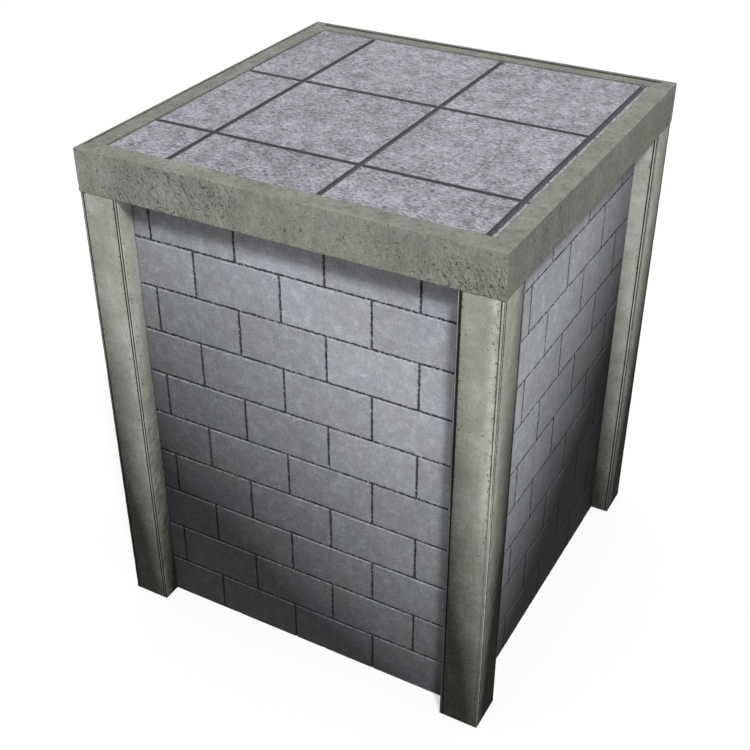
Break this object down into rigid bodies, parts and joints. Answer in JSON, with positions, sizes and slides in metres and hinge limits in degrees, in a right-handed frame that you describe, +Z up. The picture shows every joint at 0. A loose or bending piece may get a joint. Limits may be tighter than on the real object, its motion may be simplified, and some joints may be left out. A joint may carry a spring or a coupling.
{
  "type": "column base block",
  "caption": "Hollow square plinth with grooved corner posts, block walls set back between them, a mitred cap ring and a paved top, made to carry a column.",
  "frame": {"origin": "on the ground at the middle of the square footprint", "axes": "+Z up, -Y out of the front wall, +X out of the right wall"},
  "size_m": [1.65, 1.65, 2.063],
  "materials": {
    "cap_concrete": "board-marked cast concrete, olive grey, pitted, with trowel drags",
    "post_concrete": "smooth cast concrete, warm light grey, soot-dark toward the foot",
    "wall_block": "smooth concrete block, blue grey, mottled, darker toward the ground",
    "paving_slab": "flamed granite, lavender grey, fine dark and light speckle",
    "wall_mortar": "recessed pointing, near black with soot",
    "paving_bed": "bedding mortar, dark grey, gritty"
  },
  "bodies": {
    "root": {"back_wall_lift1": "wall_block", "back_wall_lift10": "wall_block", "back_wall_lift2": "wall_block", "back_wall_lift3": "wall_block", "back_wall_lift4": "wall_block", "back_wall_lift5": "wall_block", "back_wall_lift6": "wall_block", "back_wall_lift7": "wall_block", "back_wall_lift8": "wall_block", "back_wall_lift9": "wall_block", "cap_beam_back": "cap_concrete", "cap_beam_front": "cap_concrete", "cap_beam_left": "cap_concrete", "cap_beam_right": "cap_concrete", "front_wall_lift1": "wall_block", "front_wall_lift10": "wall_block", "front_wall_lift2": "wall_block", "front_wall_lift3": "wall_block", "front_wall_lift4": "wall_block", "front_wall_lift5": "wall_block", "front_wall_lift6": "wall_block", "front_wall_lift7": "wall_block", "front_wall_lift8": "wall_block", "front_wall_lift9": "wall_block", "left_wall_lift1": "wall_block", "left_wall_lift10": "wall_block", "left_wall_lift2": "wall_block", "left_wall_lift3": "wall_block", "left_wall_lift4": "wall_block", "left_wall_lift5": "wall_block", "left_wall_lift6": "wall_block", "left_wall_lift7": "wall_block", "left_wall_lift8": "wall_block", "left_wall_lift9": "wall_block", "paving_bed": "paving_bed", "post_back_left": "post_concrete", "post_back_right": "post_concrete", "post_front_left": "post_concrete", "post_front_right": "post_concrete", "right_wall_lift1": "wall_block", "right_wall_lift10": "wall_block", "right_wall_lift2": "wall_block", "right_wall_lift3": "wall_block", "right_wall_lift4": "wall_block", "right_wall_lift5": "wall_block", "right_wall_lift6": "wall_block", "right_wall_lift7": "wall_block", "right_wall_lift8": "wall_block", "right_wall_lift9": "wall_block", "slab_row1_col1": "paving_slab", "slab_row1_col2": "paving_slab", "slab_row1_col3": "paving_slab", "slab_row2_col1": "paving_slab", "slab_row2_col2": "paving_slab", "slab_row2_col3": "paving_slab", "slab_row3_col1": "paving_slab", "slab_row3_col2": "paving_slab", "slab_row3_col3": "paving_slab", "slab_slips": "paving_slab", "wall_mortar": "wall_mortar"}
  },
  "joints": []
}
